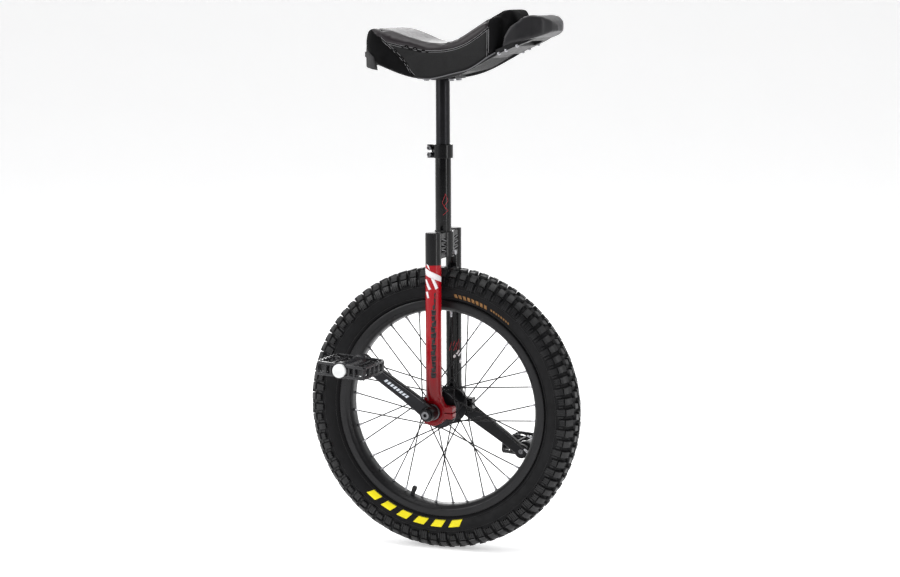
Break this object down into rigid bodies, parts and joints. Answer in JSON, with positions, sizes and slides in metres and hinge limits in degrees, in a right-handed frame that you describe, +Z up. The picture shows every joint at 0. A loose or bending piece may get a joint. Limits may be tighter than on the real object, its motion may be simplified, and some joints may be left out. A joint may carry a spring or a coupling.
{
  "type": "unicycle",
  "caption": "Trials unicycle: knobbly wheel with cranks and pedals in a two-leg fork, and a curved saddle on a height-adjustable post.",
  "frame": {"origin": "the point where the tyre touches the ground, straight below the axle", "axes": "+X forwards, +Y to the rider's left along the axle, +Z up"},
  "size_m": [0.516, 0.4016, 0.9772],
  "materials": {
    "black_paint": "satin black paint",
    "red_paint": "gloss red paint",
    "black_metal": "black anodised",
    "steel": "machined steel",
    "tyre_rubber": "matte tyre rubber",
    "tube_rubber": "soft rubber",
    "black_plastic": "moulded, lightly grained",
    "white_plastic": "gloss white",
    "seat_cover": "padded cover, grained top and woven sides",
    "grip_cover": "smooth satin leatherette"
  },
  "bodies": {
    "frame": {"leg_right": "red_paint", "leg_cap_right": "black_plastic", "bearing_holder_right": "red_paint", "bearing_bolt_right": "black_metal", "bearing_outer_ring_right": "steel", "leg_left": "black_paint", "leg_cap_left": "black_plastic", "bearing_holder_left": "black_paint", "bearing_bolt_left": "black_metal", "bearing_outer_ring_left": "steel", "crown": "black_paint", "crown_bolt": "steel", "seat_tube": "black_paint", "seat_clamp": "black_metal", "seat_clamp_bolt_lower": "steel", "seat_clamp_bolt_upper": "steel"},
    "wheel": {"tyre": "tyre_rubber", "inner_tube": "tube_rubber", "rim": "black_metal", "rim_tape": "tube_rubber", "valve_stem": "black_metal", "valve_cap": "black_plastic", "hub_shell": "black_metal", "axle": "steel", "bearing_inner_ring_right": "steel", "bearing_cage_right": "steel", "spacer_right": "steel", "spokes_right": "black_metal", "bearing_inner_ring_left": "steel", "bearing_cage_left": "steel", "spacer_left": "steel", "spokes_left": "black_metal", "crank_right": "black_metal", "crank_bolt_right": "steel", "pedal_axle_right": "steel", "crank_left": "black_metal", "crank_bolt_left": "steel", "pedal_axle_left": "steel"},
    "pedal_right": {"pedal_body_right": "black_plastic", "pedal_bush_right": "steel", "pedal_end_cap_right": "white_plastic"},
    "pedal_left": {"pedal_body_left": "black_plastic", "pedal_bush_left": "steel", "pedal_end_cap_left": "white_plastic"},
    "post": {"seatpost": "black_paint"},
    "saddle": {"rear_bumper": "black_plastic", "saddle_cushion": "seat_cover", "saddle_base": "black_plastic", "saddle_plate": "black_metal", "saddle_bolt_1": "steel", "saddle_bolt_2": "steel", "saddle_bolt_3": "steel", "saddle_bolt_4": "steel", "handle_bracket": "black_plastic", "handle_grip": "grip_cover"}
  },
  "joints": [
    {"name": "wheel_spin", "type": "hinge", "parent": "frame", "child": "wheel", "pos_m": [0, 0, 0.258], "axis": [0, 1, 0], "continuous": true},
    {"name": "pedal_right_spin", "type": "hinge", "parent": "wheel", "child": "pedal_right", "pos_m": [-0.11979, -0.15, 0.34827], "axis": [0, 1, 0], "continuous": true},
    {"name": "pedal_left_spin", "type": "hinge", "parent": "wheel", "child": "pedal_left", "pos_m": [0.11979, 0.15, 0.16773], "axis": [0, 1, 0], "continuous": true},
    {"name": "seat_height", "type": "slide", "parent": "frame", "child": "post", "axis": [0, 0, 1], "range_m": [-0.068, 0.06]},
    {"name": "seat_turn", "type": "hinge", "parent": "post", "child": "saddle", "pos_m": [0, 0, 0.85], "axis": [0, 0, 1], "range_deg": [-30, 30]}
  ]
}
